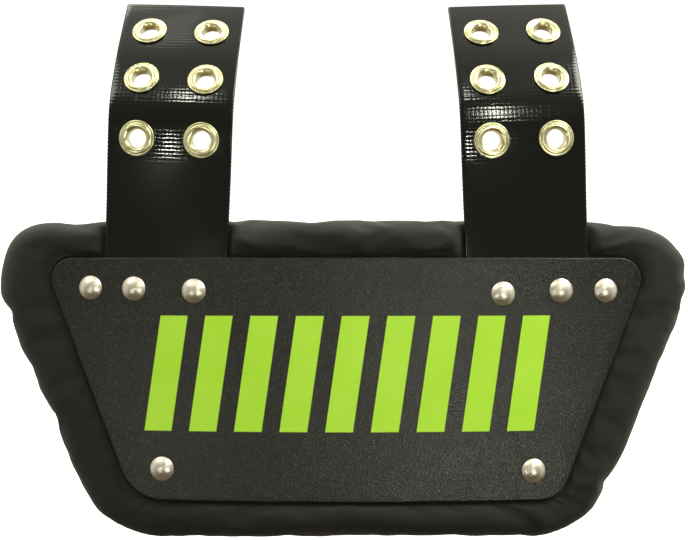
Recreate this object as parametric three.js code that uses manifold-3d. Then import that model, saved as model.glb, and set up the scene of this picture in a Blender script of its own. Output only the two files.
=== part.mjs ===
// Football back plate: a bowed hard plate riveted to a foam pad with a rolled border, and two webbing
// straps with rows of brass grommets that rise from between them and curl back over the shoulders.
// Millimetres, +X to the viewer's right, +Y away from the viewer, +Z up. The model is laid out with its
// zero at the middle of the plate's top edge, on the plate's front, and moved to its hanging point last.
import * as THREE from 'three';
import { mergeVertices } from 'three/addons/utils/BufferGeometryUtils.js';
import Module from 'manifold-3d';

const wasm = await Module();
wasm.setup();

// Gap between pieces that touch
const seatGap = 0.3;

// The whole set is bowed round the wearer's back, with its hollow side to the rear
const bowRadius = 900;

// Plate
const plateHeight = 146.2;
const plateTopWidth = 373.6;
const plateBottomWidth = 259;
const plateThickness = 3.2;
const plateTopRadius = 13;
const plateBottomLeftRadius = 28;
const plateBottomRightRadius = 18;

// Pad: its border stands out past the plate, and its top width is measured at the sharp corner
const padThickness = 27;
const padCrestRise = 0.8;
const padAbovePlate = 22.6;
const padBelowPlate = 24;
const padTopLeft = 240.8;
const padTopRight = 234.4;
const padBottomHalf = 149.5;
const padTopRadius = 38.5;
const padBottomRadius = 57;
const recessMargin = 1.2;

// Straps of 3 inch webbing
const strapWidth = 76.2;
const strapThickness = 2.6;
const strapSpacing = 219.8;
const strapTail = 40;
const strapTipLength = 25.7;
const strapInwardLean = 2.4;
const strapTopFacing = 4;
const strapStraightRise = 12;

// Grommets, in rows up each strap
const grommetDiameter = 21.6;
const grommetHoleDiameter = 11;
const grommetBarrelWall = 0.8;
const grommetFlangeHeight = 1.8;
const grommetWasherHeight = 1;
const grommetColumnSpacing = 39.3;
const grommetRowPitch = 38.1;
const grommetFirstRow = 71.7;

// The strap is flat for this share of a grommet's diameter to each side of a row, and at most for this
// share of the row pitch
const seatFlat = 0.36;
const seatFlatMost = 0.3;

// Rivets
const rivetHeadDiameter = 13.8;
const rivetHeadHeight = 3.4;
const rivetShankDiameter = 5;
const rivetWasherDiameter = 12;
const rivetWasherThickness = 1.2;
const rivetTailHeight = 1.2;
const rivetTailSpread = 1.4;
const rivetGrip = 19;
const dimpleMargin = 1;
const dimpleSpread = 7;

// How the straps bend: the lean back of each grommet row, from the bottom one, and of the tip, in degrees
const rowBends = [
  { tilt: -4.8 },
  { tilt: 26.1 },
  { tilt: 35.1 },
];
const tipTilt = 38.3;

// Section of the pad's border, from just inside the recess to the outer edge and round to the rear.
// reach: share of the way from the recess edge to the outer edge; depth: share of the pad's thickness
const rollSection = [
  { reach: -0.05, depth: 0.08 },
  { reach: 0.05, depth: 0.045 },
  { reach: 0.17, depth: 0.01 },
  { reach: 0.34, depth: 0 },
  { reach: 0.6, depth: 0.055 },
  { reach: 0.82, depth: 0.18 },
  { reach: 0.95, depth: 0.345 },
  { reach: 1, depth: 0.52 },
  { reach: 0.965, depth: 0.69 },
  { reach: 0.86, depth: 0.83 },
  { reach: 0.6, depth: 0.93 },
  { reach: 0.25, depth: 0.975 },
];

// Puckers and puffs of the border. edge: which side; drop: share of the pad's height from its top;
// swell: share of the pad's thickness, out when positive; spread: share of the pad's height
const puckers = [
  { edge: -1, drop: 0.07, swell: 0.05, spread: 0.04 },
  { edge: -1, drop: 0.235, swell: 0.03, spread: 0.025 },
  { edge: -1, drop: 0.295, swell: -0.055, spread: 0.02 },
  { edge: -1, drop: 0.41, swell: 0.035, spread: 0.025 },
  { edge: -1, drop: 0.47, swell: -0.035, spread: 0.02 },
  { edge: -1, drop: 0.54, swell: 0.04, spread: 0.03 },
  { edge: -1, drop: 0.64, swell: -0.05, spread: 0.035 },
  { edge: -1, drop: 0.78, swell: 0.04, spread: 0.03 },
  { edge: -1, drop: 0.87, swell: -0.03, spread: 0.025 },
  { edge: 1, drop: 0.12, swell: 0.085, spread: 0.03 },
  { edge: 1, drop: 0.17, swell: -0.04, spread: 0.015 },
  { edge: 1, drop: 0.215, swell: 0.04, spread: 0.015 },
  { edge: 1, drop: 0.255, swell: -0.04, spread: 0.02 },
  { edge: 1, drop: 0.34, swell: 0.025, spread: 0.03 },
  { edge: 1, drop: 0.735, swell: 0.025, spread: 0.04 },
  { edge: 1, drop: 0.83, swell: -0.075, spread: 0.025 },
  { edge: 1, drop: 0.93, swell: 0.04, spread: 0.03 },
];

// Section of a grommet's flange from its rim to its mouth. reach: share of the way out from the hole to
// the rim; rise: share of the flange's height
const flangeSection = [
  { reach: 1, rise: 0 },
  { reach: 1, rise: 0.3 },
  { reach: 0.68, rise: 1 },
  { reach: 0.22, rise: 1 },
  { reach: 0, rise: 0.35 },
];
const washerReach = 0.9;

// Rivets through the straps. side: -1 left, 1 right; across: place out from the strap's middle, a share of
// the strap's width; drop: share of the plate's height from its top edge
const strapRivets = [
  { name: 'rivet_strap_left_1', side: -1, across: 0.235, drop: 0.127 },
  { name: 'rivet_strap_left_2', side: -1, across: -0.25, drop: 0.136 },
  { name: 'rivet_strap_right_1', side: 1, across: -0.22, drop: 0.148 },
  { name: 'rivet_strap_right_2', side: 1, across: 0.25, drop: 0.135 },
];

// Rivets at the plate's corners. inset: share of the plate's width at that height, in from its side
const cornerRivets = [
  { name: 'rivet_outer_left', side: -1, inset: 0.067, drop: 0.124 },
  { name: 'rivet_outer_right', side: 1, inset: 0.0594, drop: 0.136 },
  { name: 'rivet_low_left', side: -1, inset: 0.0945, drop: 0.869 },
  { name: 'rivet_low_right', side: 1, inset: 0.0873, drop: 0.878 },
];

// How finely round shapes are divided
const sideSteps = 13;
const topSteps = 12;
const bottomSteps = 9;
const cornerSteps = 6;
const rearRings = 2;
const bowStep = 16;
const roundSides = 12;
const strapColumns = 4;
const bendSteps = 3;

const strapHalf = strapSpacing / 2;
const lastRow = grommetFirstRow + grommetRowPitch * (rowBends.length - 1);
const flatZone = Math.min(grommetDiameter * seatFlat, grommetRowPitch * seatFlatMost);
const strapMiddleDepth = plateThickness + seatGap + strapThickness / 2;
const up = new THREE.Vector3(0, 0, 1);

function bowDepth(x) {
  return x * x / (2 * bowRadius);
}

// Turn a closed three.js geometry into a solid
function toSolid(source, matrix) {
  let geometry = source.clone();
  geometry.deleteAttribute('normal');
  geometry.deleteAttribute('uv');
  if (matrix) {
    geometry.applyMatrix4(matrix);
  }
  geometry = mergeVertices(geometry, 1e-4);
  const corners = geometry.index.array;
  const kept = [];
  for (let i = 0; i < corners.length; i += 3) {
    const [a, b, c] = [corners[i], corners[i + 1], corners[i + 2]];
    if (a !== b && b !== c && c !== a) {
      kept.push(a, b, c);
    }
  }
  const vertProperties = Float32Array.from(geometry.attributes.position.array);
  const triVerts = Uint32Array.from(kept);
  return new wasm.Manifold(new wasm.Mesh({ numProp: 3, vertProperties, triVerts }));
}

function toGeometry(solid) {
  const { vertProperties, triVerts } = solid.getMesh();
  const geometry = new THREE.BufferGeometry();
  geometry.setAttribute('position', new THREE.Float32BufferAttribute(vertProperties, 3));
  geometry.setIndex(Array.from(triVerts));
  geometry.computeVertexNormals();
  return geometry;
}

function meshGeometry(points, triangles) {
  const geometry = new THREE.BufferGeometry();
  const places = points.flatMap((point) => [point.x, point.y, point.z]);
  geometry.setAttribute('position', new THREE.Float32BufferAttribute(places, 3));
  geometry.setIndex(triangles);
  return geometry;
}

// A loop of [x, z] places round a trapezoid with arc corners, clockwise from the front. Every loop has the
// same number of places, so that loops of different sizes can be joined.
function trapezoidLoop({ top, bottom, topLeft, topRight, bottomLeft, bottomRight, radii }) {
  const corners = [
    new THREE.Vector2(topLeft, top),
    new THREE.Vector2(topRight, top),
    new THREE.Vector2(bottomRight, bottom),
    new THREE.Vector2(bottomLeft, bottom),
  ];
  const steps = [topSteps, sideSteps, bottomSteps, sideSteps];
  const arcs = corners.map((corner, i) => {
    const before = corners[(i + 3) % 4].clone().sub(corner).normalize();
    const after = corners[(i + 1) % 4].clone().sub(corner).normalize();
    const half = before.angleTo(after) / 2;
    const middle = before.clone().add(after).normalize();
    const centre = corner.clone().addScaledVector(middle, radii[i] / Math.sin(half));
    const start = corner.clone().addScaledVector(before, radii[i] / Math.tan(half)).sub(centre);
    const turn = -(Math.PI - 2 * half);
    const places = [];
    for (let k = 0; k <= cornerSteps; k++) {
      places.push(start.clone().rotateAround(new THREE.Vector2(), turn * k / cornerSteps).add(centre));
    }
    return places;
  });
  const loop = [];
  arcs.forEach((arc, i) => {
    const next = arcs[(i + 1) % 4];
    loop.push(...arc);
    const from = arc[arc.length - 1];
    for (let k = 1; k < steps[i]; k++) {
      loop.push(from.clone().lerp(next[0], k / steps[i]));
    }
  });
  return loop;
}

const plateShape = {
  top: 0,
  bottom: -plateHeight,
  topLeft: -plateTopWidth / 2,
  topRight: plateTopWidth / 2,
  bottomLeft: -plateBottomWidth / 2,
  bottomRight: plateBottomWidth / 2,
  radii: [plateTopRadius, plateTopRadius, plateBottomRightRadius, plateBottomLeftRadius],
};
const plateSlope = (plateTopWidth - plateBottomWidth) / 2 / plateHeight;

// The plate's outline moved outwards by an even margin
function grownPlateShape(margin) {
  const sideways = margin * Math.hypot(1, plateSlope);
  const topOut = sideways + plateSlope * margin;
  const bottomOut = sideways - plateSlope * margin;
  return {
    top: plateShape.top + margin,
    bottom: plateShape.bottom - margin,
    topLeft: plateShape.topLeft - topOut,
    topRight: plateShape.topRight + topOut,
    bottomLeft: plateShape.bottomLeft - bottomOut,
    bottomRight: plateShape.bottomRight + bottomOut,
    radii: plateShape.radii.map((radius) => radius + margin),
  };
}

// The pad's outer edge, with its puckers moved in and out from the middle of the pad
function padLoop() {
  const height = padAbovePlate + plateHeight + padBelowPlate;
  const loop = trapezoidLoop({
    top: padAbovePlate,
    bottom: -plateHeight - padBelowPlate,
    topLeft: -padTopLeft,
    topRight: padTopRight,
    bottomLeft: -padBottomHalf,
    bottomRight: padBottomHalf,
    radii: [padTopRadius, padTopRadius, padBottomRadius, padBottomRadius],
  });
  return loop.map((place) => {
    const drop = (padAbovePlate - place.y) / height;
    const sideways = Math.min(1, Math.abs(place.x) / padBottomHalf);
    let swell = 0;
    for (const pucker of puckers) {
      if (Math.sign(place.x) === pucker.edge) {
        swell += pucker.swell * Math.exp(-(((drop - pucker.drop) / pucker.spread) ** 2));
      }
    }
    return new THREE.Vector2(place.x + Math.sign(place.x) * swell * padThickness * sideways ** 3, place.y);
  });
}

// A closed solid through rings of points, from the middle of the front to the middle of the rear
function ringSolid(frontMiddle, rings, rearMiddle) {
  const count = rings[0].length;
  const points = [frontMiddle, ...rings.flat(), rearMiddle];
  const triangles = [];
  for (let i = 0; i < count; i++) {
    const next = (i + 1) % count;
    triangles.push(0, 1 + next, 1 + i);
    for (let k = 0; k + 1 < rings.length; k++) {
      const inner = 1 + k * count;
      const outer = inner + count;
      triangles.push(inner + i, inner + next, outer + i);
      triangles.push(inner + next, outer + next, outer + i);
    }
    const last = 1 + (rings.length - 1) * count;
    triangles.push(last + i, last + next, points.length - 1);
  }
  return toSolid(meshGeometry(points, triangles));
}

// The pad before its strap grooves and rivet holes: its rings close well in front of the recess floor,
// and the recess is then cut to its bowed floor
function padBody() {
  const recess = trapezoidLoop(grownPlateShape(recessMargin));
  const edge = padLoop();
  const middle = new THREE.Vector2(0, -plateHeight / 2);
  const at = (place, depth) => new THREE.Vector3(place.x, depth + bowDepth(place.x), place.y);
  const rings = rollSection.map(({ reach, depth }) => {
    const level = depth * padThickness - padCrestRise;
    return recess.map((place, i) => at(place.clone().lerp(edge[i], reach), level));
  });
  const rear = padThickness - padCrestRise;
  for (let k = rearRings; k >= 1; k--) {
    rings.push(recess.map((place) => at(middle.clone().lerp(place, k / rearRings), rear)));
  }
  const blockFront = -bowDepth(plateTopWidth / 2);
  const block = ringSolid(at(middle, blockFront), rings, at(middle, rear));
  const cutFront = blockFront - padThickness;
  return block.subtract(bowedPrism(grownPlateShape(recessMargin), cutFront, plateThickness + seatGap));
}

// Lean back of the strap at a length up from the plate's top edge: level over each grommet row, smooth
// between them
function strapTilt(length) {
  const knots = [{ at: strapStraightRise, tilt: 0 }];
  rowBends.forEach(({ tilt }, i) => {
    const row = grommetFirstRow + grommetRowPitch * i;
    knots.push({ at: row - flatZone, tilt });
    knots.push({ at: row + flatZone, tilt });
  });
  knots.push({ at: lastRow + Math.max(strapTipLength, flatZone + 1), tilt: tipTilt });
  if (length <= knots[0].at) {
    return 0;
  }
  for (let i = 1; i < knots.length; i++) {
    if (length <= knots[i].at) {
      const share = (length - knots[i - 1].at) / (knots[i].at - knots[i - 1].at);
      return THREE.MathUtils.degToRad(THREE.MathUtils.lerp(knots[i - 1].tilt, knots[i].tilt, share));
    }
  }
  return THREE.MathUtils.degToRad(tipTilt);
}

// Height and depth of the strap's middle, added up along its length
function strapCourse(length) {
  const steps = 200;
  let height = Math.min(length, 0);
  let depth = 0;
  for (let i = 0; i < steps && length > 0; i++) {
    const tilt = strapTilt(length * (i + 0.5) / steps);
    height += Math.cos(tilt) * length / steps;
    depth += Math.sin(tilt) * length / steps;
  }
  return { height, depth };
}

// A point of a strap. side: -1 left, 1 right; out: from its middle towards its outer edge; length: up from
// the plate's top edge; front: out of its middle layer towards the viewer
function strapPoint(side, out, length, front) {
  const { height, depth } = strapCourse(length);
  const tilt = strapTilt(length);
  const lean = THREE.MathUtils.degToRad(strapInwardLean);
  const rise = height + front * Math.sin(tilt);
  const x = strapHalf + out * Math.cos(lean) - rise * Math.sin(lean);
  const z = out * Math.sin(lean) + rise * Math.cos(lean);
  const lifted = THREE.MathUtils.smoothstep(length, strapStraightRise, grommetFirstRow - flatZone);
  const facing = Math.tan(THREE.MathUtils.degToRad(strapTopFacing));
  const free = bowDepth(strapHalf) + (x - strapHalf) * facing;
  const bow = THREE.MathUtils.lerp(bowDepth(x), free, lifted);
  const y = strapMiddleDepth + depth - front * Math.cos(tilt) + bow;
  return new THREE.Vector3(side * x, y, z);
}

// Lengths up the strap where it is divided
function strapStations() {
  const stations = [-strapTail, -strapTail / 2, 0, strapStraightRise, padAbovePlate + strapStraightRise];
  let from = stations[stations.length - 1];
  rowBends.forEach((bend, i) => {
    const row = grommetFirstRow + grommetRowPitch * i;
    for (let k = 1; k <= bendSteps; k++) {
      stations.push(THREE.MathUtils.lerp(from, row - flatZone, k / bendSteps));
    }
    from = row + flatZone;
    stations.push(from);
  });
  stations.push(lastRow + Math.max(strapTipLength, flatZone + 1));
  return stations;
}

// A bar swept up one strap's course between two widths and two faces
function sweepStrap(side, stations, halfWidth, frontFace, rearFace) {
  const points = [];
  const around = 2 * (strapColumns + 1);
  for (const length of stations) {
    for (let k = 0; k <= strapColumns; k++) {
      points.push(strapPoint(side, halfWidth * (2 * k / strapColumns - 1), length, frontFace));
    }
    for (let k = strapColumns; k >= 0; k--) {
      points.push(strapPoint(side, halfWidth * (2 * k / strapColumns - 1), length, -rearFace));
    }
  }
  const triangles = [];
  for (let s = 0; s + 1 < stations.length; s++) {
    for (let k = 0; k < around; k++) {
      const a = s * around + k;
      const b = s * around + (k + 1) % around;
      triangles.push(a, b, a + around);
      triangles.push(b, b + around, a + around);
    }
  }
  const top = (stations.length - 1) * around;
  for (let k = 0; k < strapColumns; k++) {
    const rear = around - 1 - k;
    triangles.push(k, rear, k + 1);
    triangles.push(k + 1, rear, rear - 1);
    triangles.push(top + k, top + k + 1, top + rear);
    triangles.push(top + k + 1, top + rear - 1, top + rear);
  }
  if (side < 0) {
    triangles.reverse();
  }
  return toSolid(meshGeometry(points, triangles));
}

// A round cutter or piece from its profile of [radius, height] places, with its axis along +Y
function turned(profile) {
  return new THREE.LatheGeometry(profile.map(([r, h]) => new THREE.Vector2(r, h)), roundSides);
}

// Frame with +Y along the outward front direction at a point, as a matrix
function frontFrame(point, outward) {
  const sideways = new THREE.Vector3().crossVectors(outward, up).normalize();
  const upwards = new THREE.Vector3().crossVectors(sideways, outward);
  return new THREE.Matrix4().makeBasis(sideways, outward, upwards).setPosition(point);
}

// Outward front direction of the plate at a place across it
function plateOutward(x) {
  return new THREE.Vector3(x / bowRadius, -1, 0).normalize();
}

function strapOutward(side, out, length) {
  const across = strapPoint(side, out + 1, length, 0).sub(strapPoint(side, out - 1, length, 0));
  const along = strapPoint(side, out, length + 1, 0).sub(strapPoint(side, out, length - 1, 0));
  return across.cross(along).multiplyScalar(side).normalize();
}

const rivetPlaces = [
  ...strapRivets.map(({ name, side, across, drop }) => {
    const z = -drop * plateHeight;
    const lean = THREE.MathUtils.degToRad(strapInwardLean);
    return { name, x: side * (strapHalf + across * strapWidth - z * Math.tan(lean)), z };
  }),
  ...cornerRivets.map(({ name, side, inset, drop }) => {
    const halfWidth = plateTopWidth / 2 - plateSlope * drop * plateHeight;
    return { name, x: side * halfWidth * (1 - 2 * inset), z: -drop * plateHeight };
  }),
].map(({ name, x, z }) => {
  return { name, frame: frontFrame(new THREE.Vector3(x, bowDepth(x), z), plateOutward(x)) };
});

const grommetPlaces = [-1, 1].flatMap((side) => {
  return rowBends.flatMap((bend, row) => [1, -1].map((column) => {
    const length = grommetFirstRow + grommetRowPitch * row;
    const out = column * grommetColumnSpacing / 2;
    const number = 2 * row + (column > 0 ? 1 : 2);
    const frame = frontFrame(strapPoint(side, out, length, 0), strapOutward(side, out, length));
    return { name: `grommet_${side < 0 ? 'left' : 'right'}_${number}`, side, frame };
  }));
});

// One rivet: domed head, shank through everything behind it, washer and set tail
function rivetGeometry() {
  const head = rivetHeadDiameter / 2;
  const shank = rivetShankDiameter / 2;
  const washer = rivetWasherDiameter / 2;
  const domeSteps = 3;
  const profile = [[0, -rivetGrip - rivetWasherThickness - rivetTailHeight]];
  profile.push([shank * rivetTailSpread, -rivetGrip - rivetWasherThickness]);
  profile.push([washer, -rivetGrip - rivetWasherThickness]);
  profile.push([washer, -rivetGrip]);
  profile.push([shank, -rivetGrip]);
  profile.push([shank, seatGap]);
  for (let k = 0; k <= domeSteps; k++) {
    const turn = k / domeSteps * Math.PI / 2;
    profile.push([head * Math.cos(turn), seatGap + rivetHeadHeight * Math.sin(turn)]);
  }
  profile[profile.length - 1][0] = 0;
  return turned(profile);
}

// One grommet: rolled flange in front, barrel through the strap, washer behind
function grommetGeometry() {
  const outer = grommetDiameter / 2;
  const hole = grommetHoleDiameter / 2;
  const barrel = hole + grommetBarrelWall;
  const face = strapThickness / 2 + seatGap;
  const roll = outer - hole;
  return turned([
    [barrel, -face],
    [barrel, face],
    ...flangeSection.map(({ reach, rise }) => [hole + roll * reach, face + grommetFlangeHeight * rise]),
    [hole, -face - grommetWasherHeight],
    [hole + roll * washerReach, -face - grommetWasherHeight],
    [outer, -face],
    [barrel, -face],
  ]);
}

// A long round cutter for a hole
function holeCutter(radius, front, rear) {
  return turned([[0, -rear], [radius, -rear], [radius, front], [0, front]]);
}

// The set dimple behind each rivet: flat where the washer sits, flaring to the rear
function dimpleCutter() {
  const seat = rivetWasherDiameter / 2 + dimpleMargin;
  const floor = -rivetGrip + seatGap;
  const beyond = floor - padThickness;
  const flare = seat + dimpleSpread * padThickness / (padThickness - padCrestRise - rivetGrip);
  return turned([[0, beyond], [flare, beyond], [seat, floor], [0, floor]]);
}

// A bowed sheet of a trapezoid's outline, between two depths behind the bowed front
function bowedPrism(shape, frontDepth, rearDepth) {
  const slabHalf = Math.max(-shape.topLeft, shape.topRight) + bowStep;
  const front = frontDepth - bowStep;
  const rear = rearDepth + bowDepth(slabHalf) + bowStep;
  const loop = new THREE.Shape(trapezoidLoop(shape));
  const outline = new THREE.ExtrudeGeometry(loop, { depth: rear - front, bevelEnabled: false });
  const stand = new THREE.Matrix4().makeRotationX(Math.PI / 2).setPosition(0, rear, 0);
  const columns = Math.ceil(2 * slabHalf / bowStep);
  const high = shape.top + bowStep;
  const low = shape.bottom - bowStep;
  const points = [];
  const triangles = [];
  for (let k = 0; k <= columns; k++) {
    const x = slabHalf * (2 * k / columns - 1);
    for (const [z, depth] of [[high, frontDepth], [low, frontDepth], [low, rearDepth], [high, rearDepth]]) {
      points.push(new THREE.Vector3(x, depth + bowDepth(x), z));
    }
    for (let i = 0; i < 4 && k > 0; i++) {
      const a = (k - 1) * 4 + i;
      const b = (k - 1) * 4 + (i + 1) % 4;
      triangles.push(a, b, a + 4);
      triangles.push(b, b + 4, a + 4);
    }
  }
  const end = columns * 4;
  triangles.push(0, 2, 1, 0, 3, 2, end, end + 1, end + 2, end, end + 2, end + 3);
  const slab = toSolid(meshGeometry(points, triangles));
  return slab.intersect(toSolid(outline, stand));
}

const rivetHole = holeCutter(rivetShankDiameter / 2 + seatGap, padThickness, 2 * padThickness);
const grommetHole = holeCutter(grommetHoleDiameter / 2 + grommetBarrelWall + seatGap, 3 * strapThickness,
  3 * strapThickness);

function cutRivetHoles(solid) {
  return rivetPlaces.reduce((left, { frame }) => left.subtract(toSolid(rivetHole, frame)), solid);
}

function strapSolid(side) {
  let strap = sweepStrap(side, strapStations(), strapWidth / 2, strapThickness / 2, strapThickness / 2);
  for (const place of grommetPlaces) {
    if (place.side === side) {
      strap = strap.subtract(toSolid(grommetHole, place.frame));
    }
  }
  return cutRivetHoles(strap);
}

function padSolid() {
  let pad = padBody();
  const halfWidth = strapWidth / 2 + 2 * seatGap;
  const over = padAbovePlate + 4 * seatGap;
  const past = padAbovePlate + strapStraightRise;
  const grooveStations = [-strapTail - seatGap, -strapTail / 2, 0, strapStraightRise, over, past];
  for (const side of [-1, 1]) {
    const groove = sweepStrap(side, grooveStations, halfWidth, padThickness, strapThickness / 2 + seatGap);
    pad = pad.subtract(groove);
  }
  for (const { frame } of rivetPlaces) {
    pad = pad.subtract(toSolid(dimpleCutter(), frame));
  }
  return cutRivetHoles(pad);
}

const blackFabric = new THREE.MeshStandardMaterial({ color: 0x232326, roughness: 0.9, metalness: 0 });
const grainedPlate = new THREE.MeshStandardMaterial({ color: 0x2b2a27, roughness: 0.5, metalness: 0 });
const coatedWebbing = new THREE.MeshStandardMaterial({ color: 0x141414, roughness: 0.3, metalness: 0 });
const brass = new THREE.MeshStandardMaterial({ color: 0xe0d191, roughness: 0.25, metalness: 1 });
const nickel = new THREE.MeshStandardMaterial({ color: 0xb9b4aa, roughness: 0.25, metalness: 1 });

const backPlate = new THREE.Group();

function add(name, geometry, material, frame) {
  const mesh = new THREE.Mesh(geometry, material);
  mesh.name = name;
  if (frame) {
    mesh.applyMatrix4(frame);
  }
  backPlate.add(mesh);
}

add('pad', toGeometry(padSolid()), blackFabric);
add('plate', toGeometry(cutRivetHoles(bowedPrism(plateShape, 0, plateThickness))), grainedPlate);
add('strap_left', toGeometry(strapSolid(-1)), coatedWebbing);
add('strap_right', toGeometry(strapSolid(1)), coatedWebbing);
for (const { name, frame } of grommetPlaces) {
  add(name, grommetGeometry(), brass, frame);
}
for (const { name, frame } of rivetPlaces) {
  add(name, rivetGeometry(), nickel, frame);
}

// The set hangs from the middle grommet row, level with the rear faces of the straps
const hangPoint = strapPoint(1, 0, grommetFirstRow + grommetRowPitch, -strapThickness / 2);
backPlate.position.set(0, -hangPoint.y, -hangPoint.z);

export default backPlate;
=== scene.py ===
import math
import bpy
import numpy as np
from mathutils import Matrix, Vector, noise


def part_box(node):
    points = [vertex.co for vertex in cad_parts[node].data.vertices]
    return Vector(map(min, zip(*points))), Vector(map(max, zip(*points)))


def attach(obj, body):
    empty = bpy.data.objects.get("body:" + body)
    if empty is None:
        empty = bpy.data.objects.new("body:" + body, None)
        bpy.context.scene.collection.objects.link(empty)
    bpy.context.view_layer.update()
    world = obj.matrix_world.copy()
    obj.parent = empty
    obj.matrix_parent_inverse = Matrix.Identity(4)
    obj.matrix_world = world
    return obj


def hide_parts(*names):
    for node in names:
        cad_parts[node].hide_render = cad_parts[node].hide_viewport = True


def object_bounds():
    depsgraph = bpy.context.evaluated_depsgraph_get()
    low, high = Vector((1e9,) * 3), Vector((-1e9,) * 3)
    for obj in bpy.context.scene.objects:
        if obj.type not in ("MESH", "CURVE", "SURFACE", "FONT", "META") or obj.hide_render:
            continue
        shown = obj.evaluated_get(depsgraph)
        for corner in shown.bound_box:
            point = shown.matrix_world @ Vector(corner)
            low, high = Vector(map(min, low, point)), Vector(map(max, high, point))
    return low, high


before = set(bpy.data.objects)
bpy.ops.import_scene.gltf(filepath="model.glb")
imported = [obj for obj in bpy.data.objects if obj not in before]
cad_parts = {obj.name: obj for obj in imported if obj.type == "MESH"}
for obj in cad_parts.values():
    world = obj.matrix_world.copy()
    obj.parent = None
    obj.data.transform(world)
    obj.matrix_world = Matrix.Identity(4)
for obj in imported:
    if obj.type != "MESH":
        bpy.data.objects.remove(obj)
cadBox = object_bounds()
print("frame loaded")

# Everything is drawn in millimetres round the middle of the plate's top edge, on its front, and then
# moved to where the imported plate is
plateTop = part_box("plate")[1][2]
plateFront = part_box("plate")[0][1]
seatGap = 0.3            # between pieces that touch
bowRadius = 900          # the whole set is bowed round the wearer's back


def toRow(points):
    points = np.asarray(points, dtype=float)
    return points / 1000 + np.array([0, plateFront, plateTop])


def bowDepth(x):
    return np.asarray(x) ** 2 / (2 * bowRadius)


# Places seen from the front, laid on the bow at a depth
def bowed(places, depth):
    return np.stack([places[:, 0], depth + bowDepth(places[:, 0]), places[:, 1]], axis=1)


def smooth(value, low, high):
    t = np.clip((np.asarray(value, dtype=float) - low) / (high - low), 0, 1)
    return t * t * (3 - 2 * t)


# Camera, level with the upper part of the plate
view = {"distance": 638.8, "belowPlateTop": 7.4, "sideStep": -1.5, "lens": 56.06, "sensor": 36,
        "nearest": 0.02}


def addCamera():
    data = bpy.data.cameras.new("camera")
    data.lens = view["lens"]
    data.sensor_width = view["sensor"]
    data.clip_start = view["nearest"]
    cam = bpy.data.objects.new("camera", data)
    cam.location = Vector(toRow([view["sideStep"], -view["distance"], -view["belowPlateTop"]]))
    cam.rotation_euler = (math.radians(90), 0, 0)
    bpy.context.collection.objects.link(cam)
    bpy.context.scene.camera = cam


addCamera()
print("camera placed")


# Materials
def linear(hexValue):
    channels = [int(hexValue[i:i + 2], 16) / 255 for i in (1, 3, 5)]
    return [c / 12.92 if c <= 0.04045 else ((c + 0.055) / 1.055) ** 2.4 for c in channels] + [1]


# Gives a node its settings and links; a socket's name has _ for each space
def setUp(material, made, links=(), **settings):
    for name, value in settings.items():
        if hasattr(made, name):
            setattr(made, name, value)
        else:
            made.inputs[name.replace("_", " ")].default_value = value
    for name, source in dict(links).items():
        material.node_tree.links.new(source, made.inputs[name])
    return made


def node(material, kind, links=(), **settings):
    return setUp(material, material.node_tree.nodes.new(kind), links, **settings)


def newMaterial(name):
    material = bpy.data.materials.new(name)
    material.use_nodes = True
    return material, material.node_tree.nodes["Principled BSDF"]


# Each stop is a place from 0 to 1, and a hex colour or how white it is
def rampColours(ramp, stops):
    elements = ramp.color_ramp.elements
    while len(elements) < len(stops):
        elements.new(0.5)
    for element, (position, colour) in zip(elements, stops):
        element.position = position
        element.color = linear(colour) if isinstance(colour, str) else (colour, colour, colour, 1)


plateFinish = {
    "tints": ((0.1, "#22231a"), (0.7, "#14150f")),       # from a cell's middle to its edge
    "paintedGlintColour": "#3b3c30", "paintedGlintFrom": 0.7,        # cells whose chance is over this get a painted glint: paler specks in place of light caught by the grain
    "gloss": (0.24, 0.4), "patchesPerMetre": 22.0, "ior": 1.44,
    "cell": 0.9, "speck": 0.55, "cellDepth": 0.15, "speckDepth": 0.2,   # millimetres
}


# Extruded polyethylene sheet rolled with a haircell grain: a dark satin face broken into tiny glints by
# its bumps, with paler specks painted in as glints
def haircellSheet():
    finish = plateFinish
    material, shader = newMaterial("haircellPolyethyleneSheet")
    place = node(material, "ShaderNodeTexCoord").outputs["Object"]
    cells = node(material, "ShaderNodeTexVoronoi", {"Vector": place},
                 Scale=1000 / finish["cell"], Randomness=1.0)
    specks = node(material, "ShaderNodeTexNoise", {"Vector": place},
                  Scale=1000 / finish["speck"] / 2, Detail=3.0)     # a noise cell holds two specks
    patches = node(material, "ShaderNodeTexNoise", {"Vector": place},
                   Scale=finish["patchesPerMetre"], Detail=3.0)
    cellBump = node(material, "ShaderNodeBump", {"Height": cells.outputs["Distance"]},
                    Distance=finish["cellDepth"] / 1000, Strength=1.0)
    speckBump = node(material, "ShaderNodeBump",
                     {"Height": specks.outputs["Fac"], "Normal": cellBump.outputs["Normal"]},
                     Distance=finish["speckDepth"] / 1000, Strength=1.0)
    tint = node(material, "ShaderNodeValToRGB", {"Fac": cells.outputs["Distance"]})
    rampColours(tint, finish["tints"])
    # Some cells are painted paler: painted highlights standing in for glints of light on the grain's
    # bumps
    chance = node(material, "ShaderNodeSeparateColor", {0: cells.outputs["Color"]})
    share = node(material, "ShaderNodeMapRange", {"Value": chance.outputs[0]},
                 From_Min=finish["paintedGlintFrom"])
    face = node(material, "ShaderNodeMix", {"Factor": share.outputs["Result"], 6: tint.outputs["Color"]},
                data_type="RGBA")
    face.inputs[7].default_value = linear(finish["paintedGlintColour"])
    gloss = node(material, "ShaderNodeMapRange", {"Value": patches.outputs["Fac"]},
                 To_Min=finish["gloss"][0], To_Max=finish["gloss"][1])
    setUp(material, shader, {"Base Color": face.outputs[2], "Roughness": gloss.outputs["Result"],
                             "Normal": speckBump.outputs["Normal"]}, IOR=finish["ior"])
    return material


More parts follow.
